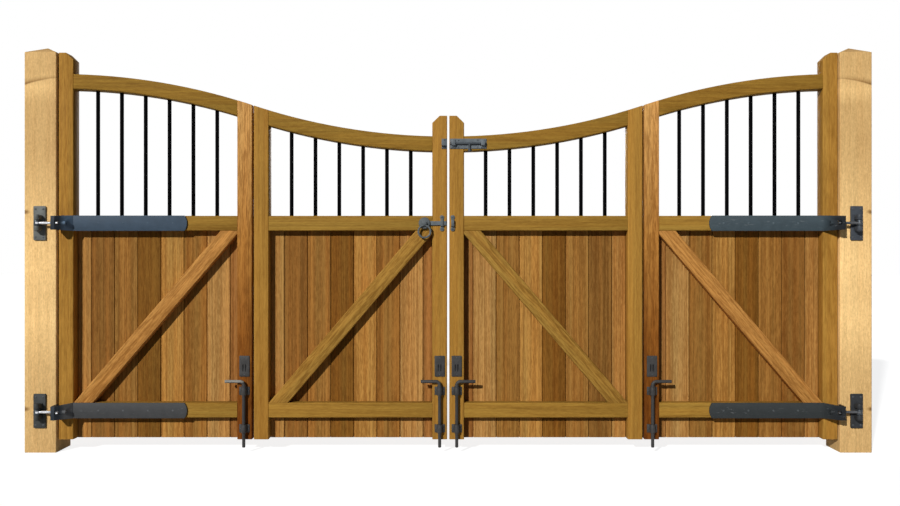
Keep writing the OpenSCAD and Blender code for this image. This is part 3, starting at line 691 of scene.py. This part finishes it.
# Pieces made here
def make_piece(name, body, mesh_maker, material):
    """A piece from mesh code, with its material and body."""
    form = bmesh.new()
    mesh_maker(form)
    bmesh.ops.recalc_face_normals(form, faces=form.faces)
    mesh = bpy.data.meshes.new(f"{name}_mesh")
    form.to_mesh(mesh)
    form.free()
    piece = bpy.data.objects.new(name, mesh)
    scene.collection.objects.link(piece)
    mesh.materials.append(material)
    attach(piece, body)
    return piece


# Boards
BOARD_COVER = 110 * MM
BOARD_FIRST = 66 * MM
BOARD_GROOVE = 2.6 * MM
BOARD_SLOT = 1.1 * MM
BOARD_SLOT_DEPTH = 8 * MM
BOARD_VARY = (0.98, 1.02)
BOARD_APART = 9


def board_tint(shader, place):
    return shader.node("Attribute", {"attribute_name": "tint"}).outputs["Color"]


def board_apart(shader, place):
    return shader.node("Attribute", {"attribute_name": "apart"}).outputs["Vector"]


board_wood = wood("board_timber", board_tint, "upright", 0, BOARD, board_apart)


def board_outline(start, end, front, back):
    """Section of one board: eased edges at front and back, and a slot before each tongue."""
    ease, slot, deep = BOARD_GROOVE, BOARD_SLOT, front + BOARD_SLOT_DEPTH
    return (
        (start, deep), (start + slot, deep), (start + slot, front + ease),
        (start + slot + ease, front), (end - slot - ease, front),
        (end - slot, front + ease), (end - slot, deep), (end, deep),
        (end, back - ease), (end - ease, back), (start + ease, back), (start, back - ease),
    )


def boarding(side, leaf):
    """Tongue and groove boards of mixed tone, each with eased long edges."""
    node = f"{side}_{leaf}_boards"
    low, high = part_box(node)
    width = high.x - low.x
    cuts = [0.0]
    while cuts[-1] < width - BOARD_GROOVE:
        cuts.append(min(width, BOARD_FIRST if len(cuts) == 1 else cuts[-1] + BOARD_COVER))

    def shape(form):
        tints = form.verts.layers.float_color.new("tint")
        aparts = form.verts.layers.float_vector.new("apart")
        for index, (start, end) in enumerate(zip(cuts, cuts[1:])):
            vary = random.uniform(*BOARD_VARY)
            tone = linear(*(value * vary for value in BOARD_TONES[index % len(BOARD_TONES)]))
            apart = Vector([random.uniform(0, BOARD_APART) for _ in range(3)])
            rings = []
            for z in (low.z, high.z):
                ring = []
                for along, y in board_outline(start, end, low.y, high.y):
                    x = low.x + along if side == "left" else high.x - along
                    vert = form.verts.new((x, y, z))
                    vert[tints] = tone
                    vert[aparts] = apart
                    ring.append(vert)
                rings.append(ring)
            bottom, top = rings
            for i in range(len(bottom)):
                j = (i + 1) % len(bottom)
                form.faces.new((bottom[i], bottom[j], top[j], top[i]))
            form.faces.new(bottom[::-1])
            form.faces.new(top)

    piece = make_piece(f"{side}_{leaf}_boarding", f"{side}_{leaf}_leaf", shape, board_wood)
    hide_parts(node)


for side in SIDES:
    for leaf in LEAVES:
        boarding(side, leaf)


# Screws: places in millimetres from the fitting, and radius
ROUND_STEPS = 24
SCREW_RISE = 1.6 * MM
SCREW_FOOT = 0.8 * MM
PLATE_SCREWS, PLATE_SCREW_R = [(x, z) for x in (-18, 18) for z in (-66, 66)], 5 * MM
BAND_SCREWS_X, BAND_SCREW_R, BAND_SCREW_RISE = (190, 306, 423, 540), 4.5 * MM, 0.7 * MM
FLAP_SCREWS, FLAP_SCREW_R = ((24, 20), (24, 95), (48, 38), (48, 77)), 4 * MM
EAR_SCREWS, GUIDE_SCREW_R = [(x, z) for x in (-18.5, 18.5) for z in (19, 195)], 3.4 * MM
REST_SCREWS_DOWN = (10, 88)
SMALL_SCREW_R = 3.2 * MM
TOP_PLATE_SCREWS = [(x, z) for x in (44, 134) for z in (-16, 16)]
KEEPER_SCREWS = [(-13, z) for z in (-17, 17)]
STAPLE_SCREWS = [(-24, z) for z in (-28, 28)]
CATCH_SCREWS = [(16, z) for z in (-28, 28)]


def lathe_rings(form, centre, along, rings, side=None, squeeze=1.0):
    """Joins closed rings of points, each given as (offset along the axis, radius by angle step)."""
    side = side or along.orthogonal().normalized()
    up = along.cross(side) * squeeze
    loops = []
    for offset, radii in rings:
        loop = []
        for k, radius in enumerate(radii):
            angle = math.tau * k / len(radii)
            reach = (side * math.cos(angle) + up * math.sin(angle)) * radius
            loop.append(form.verts.new(centre + along * offset + reach))
        loops.append(loop)
    for first, second in zip(loops, loops[1:]):
        for k in range(len(first)):
            j = (k + 1) % len(first)
            form.faces.new((first[k], first[j], second[j], second[k]))
    form.faces.new(loops[0])
    form.faces.new(loops[-1])


def screw(form, place, along, radius, rise):
    """Domed screw head with a cross recess, its foot just under the surface it holds."""
    cross = [0.50 if k % 6 == 0 else 0.30 if k % 6 in (1, 5) else 0.13
             for k in range(ROUND_STEPS)]
    rings = (
        (-SCREW_FOOT, [radius] * ROUND_STEPS),
        (0.15 * rise, [radius] * ROUND_STEPS),
        (0.60 * rise, [0.90 * radius] * ROUND_STEPS),
        (0.90 * rise, [0.70 * radius] * ROUND_STEPS),
        (rise, [radius * max(v, 0.18) * 1.04 for v in cross]),
        (0.25 * rise, [radius * v * 0.80 for v in cross]),
    )
    lathe_rings(form, Vector(place), Vector(along), rings)


def screws(name, body, spots, along, radius, material=screw_steel, rise=SCREW_RISE):
    """One piece of screws at the given spots."""
    def shape(form):
        for spot in spots:
            screw(form, spot, along, radius, rise)
    make_piece(name, body, shape, material)


def spots_from(x, y, z, offsets):
    """Places at offsets in millimetres along X and Z."""
    return [(x + dx * MM, y, z + dz * MM) for dx, dz in offsets]


def leaf_screws(side, leaf):
    """Screws of the fold flaps, and of the drop bolt's guides and rest plate."""
    sign = -1 if leaf == "outer" else 1
    flaps = [(mirrored(side, FOLD_X + sign * x * MM), BACK_Y + GUIDE_T, z + dz * MM)
             for z in FOLD_HINGES for x, dz in FLAP_SCREWS]
    screws(f"{side}_{leaf}_flap_screws", f"{side}_{leaf}_leaf", flaps, REAR, FLAP_SCREW_R)
    low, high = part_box(f"{side}_{leaf}_bolt_guides")
    x = (low.x + high.x) / 2
    guides = spots_from(x, FITTING_Y, low.z, EAR_SCREWS)
    guides += [(x, FITTING_Y, high.z - down * MM) for down in REST_SCREWS_DOWN]
    screws(f"{side}_{leaf}_guide_screws", f"{side}_{leaf}_leaf", guides, FRONT, GUIDE_SCREW_R)


for side in SIDES:
    plate = [(mirrored(side, x * MM), POST_FACE_Y - PLATE_T, z + dz * MM)
             for z in HINGE_HEIGHTS for x, dz in PLATE_SCREWS]
    screws(f"{side}_plate_screws", "posts", plate, FRONT, PLATE_SCREW_R)
    band = [(mirrored(side, OUTER_X + x * MM), FACE_Y - PLATE_T, z)
            for z in HINGE_HEIGHTS for x in BAND_SCREWS_X]
    band_metal = metal(f"{side}_band_screw", by_height(STRAP_SPLIT_Z, *BAND_SCREW_TONES[side]),
                       0.5, mottle=0.08)
    screws(f"{side}_band_screws", f"{side}_outer_leaf", band, FRONT, BAND_SCREW_R, band_metal,
           BAND_SCREW_RISE)
    for leaf in LEAVES:
        leaf_screws(side, leaf)
screws("top_plate_screws", "right_inner_leaf",
       spots_from(RIGHT_EDGE, FITTING_Y, TOP_BOLT_Z, TOP_PLATE_SCREWS), FRONT, SMALL_SCREW_R)
screws("keeper_and_latch_screws", "left_inner_leaf",
       spots_from(MEET_X, FITTING_Y, TOP_BOLT_Z, KEEPER_SCREWS)
       + spots_from(MEET_X, FITTING_Y, LATCH_Z, STAPLE_SCREWS), FRONT, SMALL_SCREW_R)
screws("catch_screws", "right_inner_leaf",
       spots_from(RIGHT_EDGE, FITTING_Y, LATCH_Z, CATCH_SCREWS), FRONT, SMALL_SCREW_R)


# Rod threads and clamp screws
ROD_R = 6 * MM
THREAD_FROM, THREAD_TO = 18 * MM, 77 * MM
THREAD_PITCH = 1.75 * MM
THREAD_STEPS = 18
THREAD_ROOT, THREAD_CREST = -0.25, 0.55
THREAD_HALF = 0.48
CLAMP_RINGS = ((4, 3.4), (19, 3.4), (19.5, 6.0), (28, 6.0), (29.2, 5.2))
CLAMP_SQUEEZE = 0.68


def clamp_screw(form, place):
    """Oval clamp screw in a strap head's window, its shank reaching the rod."""
    rings = [(offset * MM, [radius * MM] * ROUND_STEPS) for offset, radius in CLAMP_RINGS]
    lathe_rings(form, Vector(place), Vector(FRONT), rings, Vector((1, 0, 0)), CLAMP_SQUEEZE)


def thread(form, place, length):
    """A screw thread's ridge along X, which fades out over its first and last turn."""
    count = int(length / THREAD_PITCH * THREAD_STEPS)
    rows = []
    for i in range(count + 1):
        angle = math.tau * i / THREAD_STEPS
        x = place[0] + length * i / count
        fade = min(1.0, i / THREAD_STEPS, (count - i) / THREAD_STEPS)
        crest = THREAD_CREST * fade + THREAD_ROOT * (1 - fade)
        row = []
        for dx, rise in ((-THREAD_HALF, THREAD_ROOT), (0.0, crest), (THREAD_HALF, THREAD_ROOT)):
            reach = ROD_R + rise * MM
            row.append(form.verts.new((x + dx * THREAD_PITCH,
                                       place[1] + reach * math.cos(angle),
                                       place[2] + reach * math.sin(angle))))
        rows.append(row)
    for first, second in zip(rows, rows[1:]):
        for k in range(2):
            form.faces.new((first[k], first[k + 1], second[k + 1], second[k]))


def rod_fittings(side):
    """Threads and clamp screws on the rods of one side."""
    low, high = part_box(f"{side}_hinge_eyes")
    rod_y = (low.y + high.y) / 2

    def threads(form):
        near, far = sorted((mirrored(side, THREAD_FROM), mirrored(side, THREAD_TO)))
        for z in HINGE_HEIGHTS:
            thread(form, (near, rod_y, z), far - near)

    def clamps(form):
        for z in HINGE_HEIGHTS:
            clamp_screw(form, (mirrored(side, WINDOW_X), rod_y, z))

    # Threads and clamp screws take the side's zinc, darker on the right as painted shade
    plating = metal(f"{side}_thread_metal", plain(ZINC_LIT_AND_SHADED[side]), 0.36, mottle=0.05, metallic=0.5)
    make_piece(f"{side}_rod_threads", f"{side}_outer_leaf", threads, plating)
    make_piece(f"{side}_clamp_screws", f"{side}_outer_leaf", clamps, plating)


for side in SIDES:
    rod_fittings(side)


# Floor, light and camera
FLOOR_SIZE = 40
FLOOR_BASE = 0.36
FLOOR_GLOW = 0.81
AMBIENT = 0.06
AMBIENT_TINT = (0.78, 1.0, 1.30, 1)
WHITE = (1, 1, 1, 1)
SUN_COLOUR = (1.0, 0.99, 0.97)
KEY_TRAVEL, KEY_ENERGY, KEY_SPREAD = (0.55, 1.0, -0.57), 3.45, 1.5
BACK_TRAVEL, BACK_ENERGY, BACK_SPREAD = (0.0, -1.0, -0.16), 1.8, 6
FOCAL_PX = 828.0
FRAME_PX = 900.0
SENSOR_WIDTH = 36.0
CAMERA_PLACE = (MID_X + 0.0085, -3.960, 0.937)


def seen_from_lens(tree):
    """One for camera, glossy and transmission rays, else nought."""
    path = tree.nodes.new("ShaderNodeLightPath")
    result = path.outputs["Is Camera Ray"]
    for name in ("Is Glossy Ray", "Is Transmission Ray"):
        most = tree.nodes.new("ShaderNodeMath")
        most.operation = "MAXIMUM"
        tree.links.new(result, most.inputs[0])
        tree.links.new(path.outputs[name], most.inputs[1])
        result = most.outputs[0]
    return result


def floor():
    """White where it is lit, with a light shadow."""
    bpy.ops.mesh.primitive_plane_add(size=FLOOR_SIZE, location=(MID_X, FLOOR_SIZE / 4, 0))
    plane = bpy.context.object
    plane.name = "floor"
    shader = Shader("pale_floor")
    shader.set("Base Color", (FLOOR_BASE, FLOOR_BASE, FLOOR_BASE, 1))
    shader.set("Roughness", 0.9)
    shader.set("Specular IOR Level", 0.0)
    shader.set("Emission Color", WHITE)
    shader.set("Emission Strength", shader.times(seen_from_lens(shader.tree), FLOOR_GLOW))
    plane.data.materials.append(shader.material)


def world_light():
    """White to the lens, and a faint cool light on the object."""
    world = bpy.data.worlds.new("studio")
    scene.world = world
    world.use_nodes = True
    tree = world.node_tree
    strength = tree.nodes.new("ShaderNodeMapRange")
    strength.inputs["To Min"].default_value = AMBIENT
    strength.inputs["To Max"].default_value = 1.0
    seen = seen_from_lens(tree)
    tree.links.new(seen, strength.inputs["Value"])
    tint = tree.nodes.new("ShaderNodeMix")
    tint.data_type = "RGBA"
    tree.links.new(seen, tint.inputs[0])
    tint.inputs[6].default_value = AMBIENT_TINT
    tint.inputs[7].default_value = WHITE
    background = tree.nodes["Background"]
    tree.links.new(tint.outputs[2], background.inputs["Color"])
    tree.links.new(strength.outputs[0], background.inputs["Strength"])


def sun(name, travel, energy, spread):
    """A sun whose light travels the given way, with its disc's width in degrees."""
    lamp = bpy.data.lights.new(name, "SUN")
    lamp.energy = energy
    lamp.angle = math.radians(spread)
    lamp.color = SUN_COLOUR
    holder = bpy.data.objects.new(name, lamp)
    holder.rotation_euler = Vector(travel).to_track_quat("-Z", "Y").to_euler()
    scene.collection.objects.link(holder)


def camera():
    """Level camera at the photo's place."""
    lens = bpy.data.cameras.new("camera")
    lens.sensor_width = SENSOR_WIDTH
    lens.lens = SENSOR_WIDTH * FOCAL_PX / FRAME_PX
    holder = bpy.data.objects.new("camera", lens)
    holder.location = CAMERA_PLACE
    holder.rotation_euler = (math.pi / 2, 0, 0)
    scene.collection.objects.link(holder)
    scene.camera = holder


floor()
world_light()
sun("key", KEY_TRAVEL, KEY_ENERGY, KEY_SPREAD)
sun("back", BACK_TRAVEL, BACK_ENERGY, BACK_SPREAD)
camera()
scene.view_settings.view_transform = "Standard"
